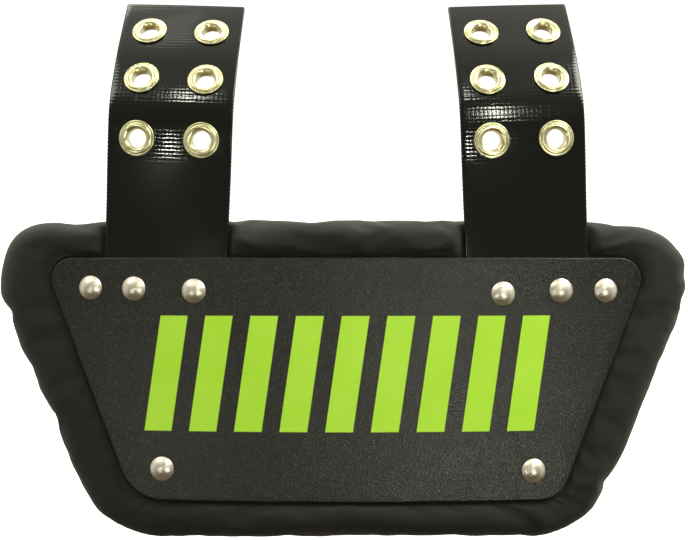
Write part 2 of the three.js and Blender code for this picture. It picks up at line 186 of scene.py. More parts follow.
padFinish = {
    "tints": ((0.35, "#0e0f0b"), (0.75, "#171813")), "patchesPerMetre": 28.0, "roughness": 0.8,
    "thread": 0.7, "threadDepth": 0.12, "lintDepth": 0.2,               # millimetres
    "waver": 1.2, "threadStrength": 0.8, "lintPerMetre": 420.0, "lintStrength": 0.7,
    "sheen": 0.3, "sheenRoughness": 0.45, "sheenTint": "#c8c8c0",
}


# Polyester tricot knitted over foam: matt black with a soft sheen where it turns away
def tricotCover():
    finish = padFinish
    material, shader = newMaterial("brushedTricotCover")
    place = node(material, "ShaderNodeTexCoord").outputs["Object"]
    scale = 1000 / finish["thread"] * 2 * math.pi / 20      # a wave has 20 radians to a unit
    wales = node(material, "ShaderNodeTexWave", {"Vector": place}, Scale=scale,
                 Distortion=finish["waver"], bands_direction="X", Detail=1.0)
    courses = node(material, "ShaderNodeTexWave", {"Vector": place}, Scale=scale,
                   Distortion=finish["waver"], bands_direction="Z", Detail=1.0)
    weave = node(material, "ShaderNodeMath", {0: wales.outputs["Fac"], 1: courses.outputs["Fac"]},
                 operation="MULTIPLY")
    lint = node(material, "ShaderNodeTexNoise", {"Vector": place},
                Scale=finish["lintPerMetre"], Detail=4.0)
    patches = node(material, "ShaderNodeTexNoise", {"Vector": place},
                   Scale=finish["patchesPerMetre"], Detail=4.0)
    knitBump = node(material, "ShaderNodeBump", {"Height": weave.outputs[0]},
                    Distance=finish["threadDepth"] / 1000, Strength=finish["threadStrength"])
    lintBump = node(material, "ShaderNodeBump",
                    {"Height": lint.outputs["Fac"], "Normal": knitBump.outputs["Normal"]},
                    Distance=finish["lintDepth"] / 1000, Strength=finish["lintStrength"])
    tint = node(material, "ShaderNodeValToRGB", {"Fac": patches.outputs["Fac"]})
    rampColours(tint, finish["tints"])
    setUp(material, shader, {"Base Color": tint.outputs["Color"], "Normal": lintBump.outputs["Normal"]},
          Roughness=finish["roughness"], Sheen_Weight=finish["sheen"],
          Sheen_Roughness=finish["sheenRoughness"], Sheen_Tint=linear(finish["sheenTint"]))
    return material


strapFinish = {
    "colour": "#151610", "roughness": 0.11, "ior": 1.5,
    "rib": 2.35, "yarn": 2.7, "ribRise": 0.021, "yarnRise": 0.017, "ripple": 0.014,   # millimetres
    "yarnFlatness": 0.3, "wobblesPerMm": 0.2, "ripplesPerMm": 0.11,
    # millimetres along the strap and how much of the weave shows there
    "showing": ((55, 0), (66, 1), (104, 1), (138, 0.5)), "showingReach": 200,
}


# Polyester webbing dipped in vinyl: near black and glossy, with the weave's ribs under the coating, so
# that a light breaks into a stack of short bars
def vinylWebbing():
    finish = strapFinish
    material, shader = newMaterial("vinylDippedWebbing")
    uv = node(material, "ShaderNodeUVMap", uv_map="strapPlace").outputs["UV"]
    parts = node(material, "ShaderNodeSeparateXYZ", {0: uv})
    wobble = node(material, "ShaderNodeTexNoise", {"Vector": uv},
                  Scale=finish["wobblesPerMm"], Detail=1.0)
    along = node(material, "ShaderNodeMath", {0: wobble.outputs["Fac"], 1: parts.outputs["Y"]},
                 operation="ADD")
    ribTurn = node(material, "ShaderNodeMath", {0: along.outputs[0]}, operation="MULTIPLY")
    ribTurn.inputs[1].default_value = 2 * math.pi / finish["rib"]
    ribs = node(material, "ShaderNodeMath", {0: ribTurn.outputs[0]}, operation="SINE")
    yarnTurn = node(material, "ShaderNodeMath", {0: parts.outputs["X"]}, operation="MULTIPLY")
    yarnTurn.inputs[1].default_value = math.pi / finish["yarn"]
    yarnWave = node(material, "ShaderNodeMath", {0: yarnTurn.outputs[0]}, operation="SINE")
    yarnSize = node(material, "ShaderNodeMath", {0: yarnWave.outputs[0]}, operation="ABSOLUTE")
    yarns = node(material, "ShaderNodeMath", {0: yarnSize.outputs[0]}, operation="POWER")
    yarns.inputs[1].default_value = finish["yarnFlatness"]
    ripples = node(material, "ShaderNodeTexNoise", {"Vector": uv},
                   Scale=finish["ripplesPerMm"], Detail=2.0)
    # The coating lies thick and smooth low down, and thins to show the weave where the strap bends
    height = node(material, "ShaderNodeMapRange", {"Value": parts.outputs["Y"]},
                  From_Max=finish["showingReach"])
    thin = node(material, "ShaderNodeValToRGB", {"Fac": height.outputs["Result"]})
    rampColours(thin, [(length / finish["showingReach"], share)
                       for length, share in finish["showing"]])
    ribBump = node(material, "ShaderNodeBump",
                   {"Height": ribs.outputs[0], "Strength": thin.outputs["Color"]},
                   Distance=finish["ribRise"] / 1000)
    yarnBump = node(material, "ShaderNodeBump",
                    {"Height": yarns.outputs[0], "Strength": thin.outputs["Color"],
                     "Normal": ribBump.outputs["Normal"]}, Distance=finish["yarnRise"] / 1000)
    rippleBump = node(material, "ShaderNodeBump",
                      {"Height": ripples.outputs["Fac"], "Normal": yarnBump.outputs["Normal"]},
                      Distance=finish["ripple"] / 1000)
    setUp(material, shader, {"Normal": rippleBump.outputs["Normal"]}, Base_Color=linear(finish["colour"]),
          Roughness=finish["roughness"], IOR=finish["ior"])
    return material


# A bright metal with faint smudges in its colour and gloss
def smudgedMetal(name, finish):
    material, shader = newMaterial(name)
    place = node(material, "ShaderNodeTexCoord").outputs["Object"]
    smudge = node(material, "ShaderNodeTexNoise", {"Vector": place},
                  Scale=finish["smudgesPerMetre"], Detail=finish["detail"])
    tint = node(material, "ShaderNodeValToRGB", {"Fac": smudge.outputs["Fac"]})
    rampColours(tint, finish["tints"])
    gloss = node(material, "ShaderNodeMapRange", {"Value": smudge.outputs["Fac"]},
                 To_Min=finish["gloss"][0], To_Max=finish["gloss"][1])
    setUp(material, shader, {"Base Color": tint.outputs["Color"], "Roughness": gloss.outputs["Result"]},
          Metallic=1)
    return material, shader, smudge


brassFinish = {"tints": ((0.3, "#dbd4a2"), (0.75, "#ebe5bf")), "gloss": (0.26, 0.36),
               "smudgesPerMetre": 180.0, "detail": 3.0}


# Rolled brass, lacquered: pale yellow and smooth, with faint smudges of a browner yellow
def rolledBrass():
    return smudgedMetal("rolledLacqueredBrass", brassFinish)[0]


nickelFinish = {"tints": ((0.3, "#e6dbc6"), (0.7, "#f6f0e2")), "gloss": (0.36, 0.5),
                "smudgesPerMetre": 260.0, "detail": 4.0, "dentDepth": 0.12, "dentStrength": 0.6}


# Nickel-plated steel, pressed and tumbled: bright domes, slightly satin
def tumbledNickel():
    material, shader, smudge = smudgedMetal("tumbledNickelPlate", nickelFinish)
    dents = node(material, "ShaderNodeBump", {"Height": smudge.outputs["Fac"]},
                 Distance=nickelFinish["dentDepth"] / 1000, Strength=nickelFinish["dentStrength"])
    setUp(material, shader, {"Normal": dents.outputs["Normal"]})
    return material


filmFinish = {"tints": ((0.3, "#c0fa34"), (0.75, "#caff48")), "patchesPerMetre": 35.0,
              "roughness": 0.5, "grainDepth": 0.05, "grainStrength": 0.6}


# Cut vinyl film: flat lime green with a low shine, and the plate's grain faint under it
def vinylFilm():
    finish = filmFinish
    material, shader = newMaterial("cutVinylFilm")
    place = node(material, "ShaderNodeTexCoord").outputs["Object"]
    grain = node(material, "ShaderNodeTexVoronoi", {"Vector": place},
                 Scale=1000 / plateFinish["cell"])
    bump = node(material, "ShaderNodeBump", {"Height": grain.outputs["Distance"]},
                Distance=finish["grainDepth"] / 1000, Strength=finish["grainStrength"])
    patches = node(material, "ShaderNodeTexNoise", {"Vector": place},
                   Scale=finish["patchesPerMetre"], Detail=3.0)
    tint = node(material, "ShaderNodeValToRGB", {"Fac": patches.outputs["Fac"]})
    rampColours(tint, finish["tints"])
    setUp(material, shader, {"Base Color": tint.outputs["Color"], "Normal": bump.outputs["Normal"]},
          Roughness=finish["roughness"])
    return material


sheetPlastic = haircellSheet()
coverFabric = tricotCover()
webbing = vinylWebbing()
brass = rolledBrass()
nickel = tumbledNickel()
film = vinylFilm()
print("materials made")


# Shapes
def newPiece(name, points, faces, material, sharp=None):
    mesh = bpy.data.meshes.new(name)
    mesh.from_pydata([tuple(p) for p in toRow(points)], [],
                     [tuple(int(i) for i in f) for f in faces])
    mesh.validate()
    mesh.materials.append(material)
    mesh.polygons.foreach_set("use_smooth", [True] * len(mesh.polygons))
    if sharp:
        mesh.set_sharp_from_angle(angle=math.radians(sharp))
    piece = bpy.data.objects.new(name, mesh)
    bpy.context.collection.objects.link(piece)
    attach(piece, "root")
    return piece


# A loop of places round a trapezoid with arc corners, clockwise from the front
def trapezoidLoop(shape, steps, cornerSteps):
    corners = [np.array(c, dtype=float) for c in (
        (shape["topLeft"], shape["top"]), (shape["topRight"], shape["top"]),
        (shape["bottomRight"], shape["bottom"]), (shape["bottomLeft"], shape["bottom"]))]
    arcs = []
    for i, corner in enumerate(corners):
        before = corners[i - 1] - corner
        after = corners[(i + 1) % 4] - corner
        before /= np.linalg.norm(before)
        after /= np.linalg.norm(after)
        half = math.acos(float(before @ after)) / 2
        radius = shape["radii"][i]
        middle = (before + after) / np.linalg.norm(before + after)
        centre = corner + middle * radius / math.sin(half)
        start = corner + before * radius / math.tan(half) - centre
        turns = -(math.pi - 2 * half) * np.linspace(0, 1, cornerSteps + 1)
        arcs.append(np.stack([start[0] * np.cos(turns) - start[1] * np.sin(turns),
                              start[0] * np.sin(turns) + start[1] * np.cos(turns)], axis=1) + centre)
    loop = []
    for i, arc in enumerate(arcs):
        loop.extend(arc)
        share = (np.arange(1, steps[i]) / steps[i])[:, None]
        loop.extend(arc[-1] * (1 - share) + arcs[(i + 1) % 4][0] * share)
    return np.array(loop)


# Quads between rings of the same count, with a middle point at each end
def ringFaces(ringCount, count):
    faces = []
    for i in range(count):
        after = (i + 1) % count
        faces.append((0, 1 + after, 1 + i))
        for k in range(ringCount - 1):
            a = 1 + k * count
            faces.append((a + i, a + after, a + count + after, a + count + i))
        last = 1 + (ringCount - 1) * count
        faces.append((last + i, last + after, 1 + ringCount * count))
    return faces


plate = {
    "height": 146.2, "topWidth": 373.6, "bottomWidth": 259, "thickness": 3.2, "topRadius": 13,
    "bottomLeftRadius": 28, "bottomRightRadius": 18, "edgeRound": 0.9, "backEdge": 0.3,
    "handCut": 0.45, "cutWaves": 5,          # how far the hand-cut edge strays, and how often
    # steps along the top, right, bottom and left, round a corner and over the front edge
    "steps": (130, 54, 90, 54), "cornerSteps": 12, "edgeSteps": 6,
    "frontRings": (0.12, 0.24, 0.36, 0.48, 0.6, 0.7, 0.8, 0.88, 0.95),   # shares of the way out
    "rearRings": (0.95, 0.8, 0.6, 0.4, 0.2),
    "sharp": 40,
}


def plateShape(margin):
    slope = (plate["topWidth"] - plate["bottomWidth"]) / 2 / plate["height"]
    sideways = margin * math.hypot(1, slope)
    top = plate["topWidth"] / 2 + sideways + slope * margin
    bottom = plate["bottomWidth"] / 2 + sideways - slope * margin
    radii = [plate["topRadius"], plate["topRadius"], plate["bottomRightRadius"],
             plate["bottomLeftRadius"]]
    return {"top": margin, "bottom": -plate["height"] - margin, "topLeft": -top, "topRight": top,
            "bottomLeft": -bottom, "bottomRight": bottom,
            "radii": [radius + margin for radius in radii]}


def makePlate():
    rings = []
    middle = np.array([0, -plate["height"] / 2])
    thickness, edge, back = plate["thickness"], plate["edgeRound"], plate["backEdge"]
    count = sum(plate["steps"]) + 4 * plate["cornerSteps"]
    waves = plate["cutWaves"]
    wave = np.array([noise.noise(Vector((math.cos(t) * waves, math.sin(t) * waves, 0)))
                     for t in np.linspace(0, 2 * math.pi, count, endpoint=False)])

    def ring(inset, depth, share=1):
        loop = trapezoidLoop(plateShape(-inset), plate["steps"], plate["cornerSteps"])
        outward = loop - middle
        outward /= np.linalg.norm(outward, axis=1)[:, None]
        loop = loop + outward * wave[:, None] * plate["handCut"]
        rings.append(bowed(middle + (loop - middle) * share, depth))

    for share in plate["frontRings"]:
        ring(edge, 0, share)
    for turn in np.linspace(0, math.pi / 2, plate["edgeSteps"]):
        ring(edge * (1 - math.sin(turn)), edge * (1 - math.cos(turn)))
    ring(0, thickness - back)
    ring(back, thickness)
    for share in plate["rearRings"]:
        ring(back, thickness, share)
    points = np.concatenate([[[middle[0], 0, middle[1]]], *rings, [[middle[0], thickness, middle[1]]]])
    piece = newPiece("hard_plate", points, ringFaces(len(rings), count), sheetPlastic,
                     plate["sharp"])
    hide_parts("plate")


makePlate()
print("plate made")


# Plain slanted bars where the plate is printed
bars = {
    "count": 9, "left": -122, "right": 123, "high": -34.8, "low": -104.2, "width": 16.6, "slant": 10,
    "front": -0.15, "back": -0.03,           # depths of the film's faces from the plate's front
    "columns": 8, "rows": 10, "sharp": 40,
}


def makeBars():
    points, faces = [], []
    columns, rows = bars["columns"], bars["rows"]
    grid = (columns + 1) * (rows + 1)
    pitch = (bars["right"] - bars["left"] - bars["width"] - bars["slant"]) / (bars["count"] - 1)
    for n in range(bars["count"]):
        base = len(points)
        for depth in (bars["front"], bars["back"]):
            for j in range(rows + 1):
                for i in range(columns + 1):
                    across, drop = i / columns, j / rows
                    z = bars["high"] + (bars["low"] - bars["high"]) * drop
                    x = bars["left"] + n * pitch + bars["width"] * across + bars["slant"] * (1 - drop)
                    points.append((x, depth + bowDepth(x), z))
        for j in range(rows):
            for i in range(columns):
                a = base + j * (columns + 1) + i
                faces.append((a, a + columns + 1, a + columns + 2, a + 1))
                faces.append((a + grid, a + grid + 1, a + grid + columns + 2, a + grid + columns + 1))
        rim = [base + i for i in range(columns)]
        rim += [base + columns + j * (columns + 1) for j in range(rows)]
        rim += [base + rows * (columns + 1) + columns - i for i in range(columns)]
        rim += [base + (rows - j) * (columns + 1) for j in range(rows)]
        for k, a in enumerate(rim):
            b = rim[(k + 1) % len(rim)]
            faces.append((a, b, b + grid, a + grid))
    newPiece("printed_bars", points, faces, film, bars["sharp"])


makeBars()
print("bars made")


strap = {
    "width": 76.2, "thickness": 2.6, "spacing": 219.8, "tail": 40, "tip": 25.7, "lean": 2.4,
    "topFacing": 4, "straightRise": 12, "rowTilts": (-4.8, 26.1, 35.1), "tipTilt": 38.3,
    # the bends are eased over this length, worked out this far round each place and in these steps
    "bendBlend": 5, "blendReach": 20, "courseStep": 0.1, "courseSpare": 2,
    "edgeRound": 0.9, "edgeSteps": 4, "step": 0.6, "columns": 26,
    "sawEdge": 0.14, "sawReach": 1.5,
    # pinched under each grommet, from this far out to this far
    "pinch": 0.08, "pinchFrom": 9.5, "pinchTo": 13.5, "sharp": 50,
}
grommet = {
    "diameter": 21.6, "hole": 11, "wall": 0.8, "flange": 1.8, "washer": 1, "columnSpacing": 39.3,
    "rowPitch": 38.1, "firstRow": 71.7, "seatFlat": 0.36, "segments": 64, "sharp": 50,
    # turned rim: how far in and up its round stands, and its half width and rise
    "rimHeight": 0.6, "rim": (0.55, 0.5),
    "crease": ((0.8, 1.0), (1.0, 0.72), (1.2, 0.75)),    # how far in from the edge, and height
    "mouthInset": 2.6, "mouthHeight": 0.75, "mouthWidth": 1.4, "funnelDepth": 0.6,
    "undercut": 0.3, "foot": 0.3, "washerInset": (0.4, 0.5), "washerRise": (0.9, 0.5),
    # where each arc starts, in quarter turns for the rim and radians for the others, and its steps
    "rimArc": (-0.35, 7), "mouthArc": (0.3, 6), "funnelArc": (0.15, 10),
}
strapMiddle = plate["thickness"] + seatGap + strap["thickness"] / 2
flatZone = grommet["diameter"] * grommet["seatFlat"]
lastRow = grommet["firstRow"] + 2 * grommet["rowPitch"]
strapTop = lastRow + strap["tip"]


# Height, depth and lean back of the strap's middle along its length, from the plate's top edge
def strapCourse():
    knots, tilts = [strap["straightRise"]], [0]
    for i, tilt in enumerate(strap["rowTilts"]):
        row = grommet["firstRow"] + i * grommet["rowPitch"]
        knots += [row - flatZone, row + flatZone]
        tilts += [tilt, tilt]
    knots.append(strapTop)
    tilts.append(strap["tipTilt"])
    step, reach = strap["courseStep"], strap["blendReach"]
    spare = round(reach / step)
    lengths = np.arange(0, strapTop + strap["courseSpare"], step)
    near = np.exp(-(np.linspace(-reach, reach, 2 * spare + 1) / strap["bendBlend"]) ** 2 / 2)
    eased = np.pad(np.interp(lengths, knots, tilts), spare, mode="edge")
    tilt = np.radians(np.convolve(eased, near / near.sum(), mode="valid"))
    middle = (tilt[1:] + tilt[:-1]) / 2
    height = np.concatenate([[0], np.cumsum(np.cos(middle)) * step])
    depth = np.concatenate([[0], np.cumsum(np.sin(middle)) * step])
    return lengths, height, depth, tilt


course = strapCourse()


def strapPoint(side, out, length, front):
    lengths, heights, depths, tilts = course
    out, length, front = (np.asarray(v, dtype=float) for v in (out, length, front))
    height = np.interp(length, lengths, heights) + np.minimum(length, 0)
    depth = np.interp(length, lengths, depths)
    tilt = np.interp(length, lengths, tilts)
    lean = math.radians(strap["lean"])
    rise = height + front * np.sin(tilt)
    x = strap["spacing"] / 2 + out * math.cos(lean) - rise * math.sin(lean)
    z = out * math.sin(lean) + rise * math.cos(lean)
    # On the bow while it lies on the plate, and cupped across where it is free
    facing = math.tan(math.radians(strap["topFacing"]))
    free = bowDepth(strap["spacing"] / 2) + (x - strap["spacing"] / 2) * facing
    free = free + bowDepth(out)
    lifted = smooth(length, strap["straightRise"], grommet["firstRow"] - flatZone)
    y = strapMiddle + depth - front * np.cos(tilt) + bowDepth(x) * (1 - lifted) + free * lifted
    return np.stack([side * x, y, z], axis=-1)


# Place and axes of a turned piece: z along the outward front direction
def frontFrame(point, outward):
    outward = Vector(outward).normalized()
    sideways = Vector((0, 0, 1)).cross(outward).normalized()
    upwards = outward.cross(sideways)
    return np.array([sideways, upwards, outward]), np.array(point)


def strapFrame(side, out, length):
    across = strapPoint(side, out + 1, length, 0) - strapPoint(side, out - 1, length, 0)
    along = strapPoint(side, out, length + 1, 0) - strapPoint(side, out, length - 1, 0)
    return frontFrame(strapPoint(side, out, length, 0), np.cross(across, along) * side)


grommetPlaces = []
for side in (-1, 1):
    for row in range(3):
        for column in (1, -1):
            out = column * grommet["columnSpacing"] / 2
            length = grommet["firstRow"] + row * grommet["rowPitch"]
            label = ("left" if side < 0 else "right") + "_" + str(2 * row + (1 if column > 0 else 2))
            grommetPlaces.append((label, side, out, length, strapFrame(side, out, length)))


def circle(radius, turns, height):
    return np.stack([radius * np.cos(turns), radius * np.sin(turns), np.full(len(turns), height)],
                    axis=1)


# A turned piece from a closed run of [radius, height] places, or one that starts and ends on the axis
def turnedPiece(name, profile, place, segments, material, sharp):
    axes, centre = place
    onAxis = profile[0][0] == 0
    body = profile[1:-1] if onAxis else profile
    turns = np.linspace(0, 2 * math.pi, segments, endpoint=False)
    local = np.concatenate([circle(radius, turns, height) for radius, height in body])
    count = len(body)
    faces = []
    for k in range(count - 1 if onAxis else count):
        for i in range(segments):
            a, b = k * segments, ((k + 1) % count) * segments
            j = (i + 1) % segments
            faces.append((a + i, a + j, b + j, b + i))
    if onAxis:
        local = np.concatenate([local, [[0, 0, profile[0][1]], [0, 0, profile[-1][1]]]])
        for i in range(segments):
            j = (i + 1) % segments
            faces.append((len(local) - 2, j, i))
            faces.append((len(local) - 1, (count - 1) * segments + i, (count - 1) * segments + j))
    return newPiece(name, local @ axes + centre, faces, material, sharp)


# Places on an oval arc, its turns in radians from straight out
def arc(middle, radii, start, end, steps):
    return [(middle[0] + radii[0] * math.cos(turn), middle[1] + radii[1] * math.sin(turn))
            for turn in np.linspace(start, end, steps)]


def grommetProfile():
    outer, hole = grommet["diameter"] / 2, grommet["hole"] / 2
    barrel, high, washer = hole + grommet["wall"], grommet["flange"], grommet["washer"]
    face = strap["thickness"] / 2 + seatGap
    rim, base, broad = grommet["rim"], grommet["mouthHeight"], grommet["mouthWidth"]
    crest, deep = outer - grommet["mouthInset"], grommet["funnelDepth"]
    quarter = math.pi / 2
    rimStart, rimSteps = grommet["rimArc"]
    mouthStart, mouthSteps = grommet["mouthArc"]
    funnelStart, funnelSteps = grommet["funnelArc"]
    run = [(barrel, -face), (barrel, face), (outer - grommet["undercut"], face)]
    # Turned rim, a narrow crease inside it, the broad rolled mouth and the funnel into the barrel
    run += arc((outer - rim[0], face + grommet["rimHeight"]), rim, rimStart * quarter, quarter, rimSteps)
    run += [(outer - inset, face + rise) for inset, rise in grommet["crease"]]
    run += arc((crest, face + base), (broad, high - base), mouthStart, quarter, mouthSteps)
    run += arc((crest, face - deep), (crest - hole, high + deep), quarter + funnelStart, math.pi,
               funnelSteps)
    inner, rest = grommet["washerInset"]
    low, middle = grommet["washerRise"]
    run += [(hole, -face - grommet["foot"]), (hole + inner, -face - washer)]
    run += [(outer - rest, -face - washer * low), (outer, -face - washer * middle), (outer, -face)]
    return run


for label, side, out, length, place in grommetPlaces:
    piece = turnedPiece("brass_eyelet_" + label, grommetProfile(), place, grommet["segments"], brass,
                        grommet["sharp"])
    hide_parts("grommet_" + label)
print("grommets made")


# The strap's section as places out and to the front, round from its front face
def strapSection():
    half, thick, edge = strap["width"] / 2, strap["thickness"] / 2, strap["edgeRound"]
    inner = half - edge
    section = [(x, thick) for x in np.linspace(-inner, inner, strap["columns"] + 1)]
    rounding = np.linspace(0, math.pi / 2, strap["edgeSteps"])[1:]
    section += [(inner + edge * math.sin(t), thick - edge + edge * math.cos(t)) for t in rounding]
    section += [(inner + edge * math.cos(t), -thick + edge - edge * math.sin(t)) for t in rounding]
    section += [(x, -thick) for x in np.linspace(inner, -inner, strap["columns"] + 1)][1:]
    section += [(-inner - edge * math.sin(t), -thick + edge - edge * math.cos(t)) for t in rounding]
    section += [(-inner - edge * math.cos(t), thick - edge + edge * math.sin(t)) for t in rounding][:-1]
    return np.array(section)


def makeStrap(side):
    label = "left" if side < 0 else "right"
    half, section = strap["width"] / 2, strapSection()
    stations = np.arange(-strap["tail"], strapTop + 0.01, strap["step"])     # just past, to end there
    out = np.tile(section[:, 0], (len(stations), 1))
    front = np.tile(section[:, 1], (len(stations), 1))
    length = np.tile(stations[:, None], (1, len(section)))
    # The weave's ends saw the edges, and the strap is pinched under each grommet
    ribs = np.sin(length * 2 * math.pi / strapFinish["rib"])
    atEdge = smooth(np.abs(out), half - strap["sawReach"], half)
    out = out + strap["sawEdge"] * ribs * atEdge * np.sign(out)
    for _, owner, holeOut, holeLength, _ in grommetPlaces:
        if owner == side:
            near = np.hypot(out - holeOut, length - holeLength)
            pinched = 1 - smooth(near, strap["pinchFrom"], strap["pinchTo"])
            front = front - np.sign(front) * strap["pinch"] * pinched
    points = strapPoint(side, out, length, front).reshape(-1, 3)
    around = len(section)
    faces = []
    for s in range(len(stations) - 1):
        for k in range(around):
            a, b = s * around + k, s * around + (k + 1) % around
            faces.append((a, b, b + around, a + around) if side > 0 else (a, a + around, b + around, b))
    last = (len(stations) - 1) * around
    bottom, top = list(range(around))[::-1], [last + k for k in range(around)]
    faces += [bottom, top] if side > 0 else [bottom[::-1], top[::-1]]
    piece = newPiece("webbing_" + label, points, faces, webbing)
    # Millimetres out and along, for the webbing's ribs
    uv = piece.data.uv_layers.new(name="strapPlace")
    corners = np.zeros(len(piece.data.loops), dtype=int)
    piece.data.loops.foreach_get("vertex_index", corners)
    places = np.stack([out.reshape(-1)[corners], length.reshape(-1)[corners]], axis=1)
    uv.data.foreach_set("uv", places.reshape(-1))
    cutHoles(piece, side)
    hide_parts("strap_" + label)


cutter = {"segments": 32, "reach": 5}


# Holes for the barrels
def cutHoles(piece, side):
    points, faces = [], []
    radius = grommet["hole"] / 2 + grommet["wall"] * 0.5     # ends inside the barrel's wall
    count = cutter["segments"]
    turns = np.linspace(0, 2 * math.pi, count, endpoint=False)
    for _, owner, _, _, (axes, centre) in grommetPlaces:
        if owner != side:
            continue
        base = len(points)
        for height in (-cutter["reach"], cutter["reach"]):
            points.extend(circle(radius, turns, height) @ axes + centre)
        for i in range(count):
            j = (i + 1) % count
            faces.append((base + i, base + j, base + count + j, base + count + i))
        faces.append(tuple(base + i for i in reversed(range(count))))
        faces.append(tuple(base + count + i for i in range(count)))
    mesh = bpy.data.meshes.new("cutter")
    mesh.from_pydata([tuple(p) for p in toRow(points)], [], faces)
    tool = bpy.data.objects.new("cutter", mesh)
    bpy.context.collection.objects.link(tool)
    cut = piece.modifiers.new("holes", "BOOLEAN")
    cut.operation = "DIFFERENCE"
    cut.object = tool
    cut.solver = "EXACT"
    applyModifiers(piece)
    bpy.data.objects.remove(tool)
    piece.data.set_sharp_from_angle(angle=math.radians(strap["sharp"]))


def applyModifiers(piece):
    bpy.context.view_layer.update()
    graph = bpy.context.evaluated_depsgraph_get()
    mesh = bpy.data.meshes.new_from_object(piece.evaluated_get(graph))
    old = piece.data
    piece.modifiers.clear()
    piece.data = mesh
    mesh.name = piece.name
    bpy.data.meshes.remove(old)


makeStrap(-1)
makeStrap(1)
print("straps made")


rivet = {
    "head": 14.5, "height": 3.4, "shank": 5, "washer": 12, "washerThickness": 1.2, "tail": 1.2,
    "grip": 19, "lip": 0.35, "washerEdge": 0.3, "seat": 0.4, "undercut": 0.2,
    "tailSpread": (0.9, 1.3, 1.4),           # the set tail's width as shares of the shank
    "segments": 48, "domeSteps": 13, "sharp": 40,
    # name, side, place out from the strap's middle as a share of its width, drop as a share of the
    # plate's height
    "strap": (("strap_left_1", -1, 0.235, 0.127), ("strap_left_2", -1, -0.25, 0.136),
              ("strap_right_1", 1, -0.22, 0.148), ("strap_right_2", 1, 0.25, 0.135)),
    # name, side, inset as a share of the plate's width there, drop
    "corner": (("outer_left", -1, 0.067, 0.124), ("outer_right", 1, 0.0594, 0.136),
               ("low_left", -1, 0.0945, 0.869), ("low_right", 1, 0.0873, 0.878)),
}


def rivetPlaces():
    lean = math.tan(math.radians(strap["lean"]))
    for name, side, across, drop in rivet["strap"]:
        z = -drop * plate["height"]
        yield name, side * (strap["spacing"] / 2 + across * strap["width"] - z * lean), z
    for name, side, inset, drop in rivet["corner"]:
        half = (plate["topWidth"] - (plate["topWidth"] - plate["bottomWidth"]) * drop) / 2
        yield name, side * half * (1 - 2 * inset), -drop * plate["height"]


def rivetProfile():
    head, shank, washer = rivet["head"] / 2, rivet["shank"] / 2, rivet["washer"] / 2
    grip, edge, tail = -rivet["grip"], rivet["washerEdge"], rivet["tail"]
    end, seat = grip - rivet["washerThickness"], seatGap * rivet["seat"]
    tip, bulge, root = (shank * share for share in rivet["tailSpread"])
    run = [(0, end - tail), (tip, end - tail), (bulge, end - tail * 0.5), (root, end)]
    run += [(washer - edge, end), (washer, end + edge), (washer, grip), (shank, grip)]
    run += [(shank, seat), (head - rivet["undercut"], seat), (head, seatGap)]
    # The dome is part of a ball
    rise = rivet["height"] - rivet["lip"]
    ball = (head ** 2 + rise ** 2) / (2 * rise)
    for turn in np.linspace(math.asin(head / ball), 0, rivet["domeSteps"])[:-1]:
        run.append((ball * math.sin(turn), seatGap + rivet["lip"] + rise - ball * (1 - math.cos(turn))))
    return run + [(0, seatGap + rivet["height"])]


for name, x, z in rivetPlaces():
    place = frontFrame((x, float(bowDepth(x)), z), (x / bowRadius, -1, 0))
    piece = turnedPiece("dome_rivet_" + name, rivetProfile(), place, rivet["segments"], nickel,
                        rivet["sharp"])
    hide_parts("rivet_" + name)
print("rivets made")


pad = {
    "thickness": 27, "crestRise": 0.8, "above": 22.6, "below": 24, "topLeft": 240.8, "topRight": 234.4,
    "bottomHalf": 149.5, "topRadius": 38.5, "bottomRadius": 57, "recessMargin": 1.2,
    # steps along the top, right, bottom and left, round a corner and over the roll
    "steps": (75, 38, 55, 38), "cornerSteps": 15, "sectionSteps": 30,
    "floorRings": (0.3, 0.6, 0.85, 0.95, 0.985),         # shares of the way out
    "rearRings": (0.93, 0.85, 0.75, 0.6, 0.45, 0.3, 0.15),
    "rearFrom": 0.6,                                     # share of the thickness
    # place along the top edge and how far it sags there, in millimetres
    "sag": ((-206, -2.5), (-197, -1.5), (-187, 0.3), (-171, 1.8), (-148, 0), (146, 0), (160, 1.5),
            (177, 3.2), (192, 2.2), (204, 0)),
    "sagWhole": 4,                                       # whole from this far below the top edge
    # From the recess floor over the roll to the rear: reach is the share of the way out, depth the
    # share of the thickness
    "section": ((0.0, 0.15), (0.03, 0.105), (0.1, 0.055), (0.2, 0.018), (0.36, 0.0), (0.6, 0.05),
                (0.82, 0.175), (0.95, 0.345), (1.0, 0.52), (0.965, 0.69), (0.86, 0.83), (0.6, 0.93),
                (0.25, 0.975), (0.0, 0.99)),
    # edge, drop, swell and spread of each pucker, as shares of the height and the thickness
    "puckers": ((-1, 0.07, 0.05, 0.04), (-1, 0.235, 0.03, 0.025), (-1, 0.295, -0.055, 0.02),
                (-1, 0.41, 0.03, 0.025), (-1, 0.47, -0.02, 0.02), (-1, 0.54, 0.03, 0.03),
                (-1, 0.64, -0.03, 0.035), (-1, 0.78, 0.03, 0.03), (-1, 0.93, 0.085, 0.035),
                (1, 0.12, 0.085, 0.03), (1, 0.17, -0.04, 0.015), (1, 0.215, 0.04, 0.015),
                (1, 0.255, -0.04, 0.02), (1, 0.34, 0.025, 0.03), (1, 0.735, 0.025, 0.04),
                (1, 0.83, -0.075, 0.025), (1, 0.93, 0.04, 0.03)),
    "puckerFade": 3,                                     # how fast they fade along the top and bottom
    # how far out, and down the strap's tail, the border is pressed back, and the depth where that ends
    "grooveEdge": (0.6, 4.5), "grooveEnd": 4, "grooveDepth": 12,
    # a dimple pulls the rear in from this far to this far from a washer, this far past its seat
    "dimple": (7, 17), "dimplePast": 0.3, "washerAway": -20,
}


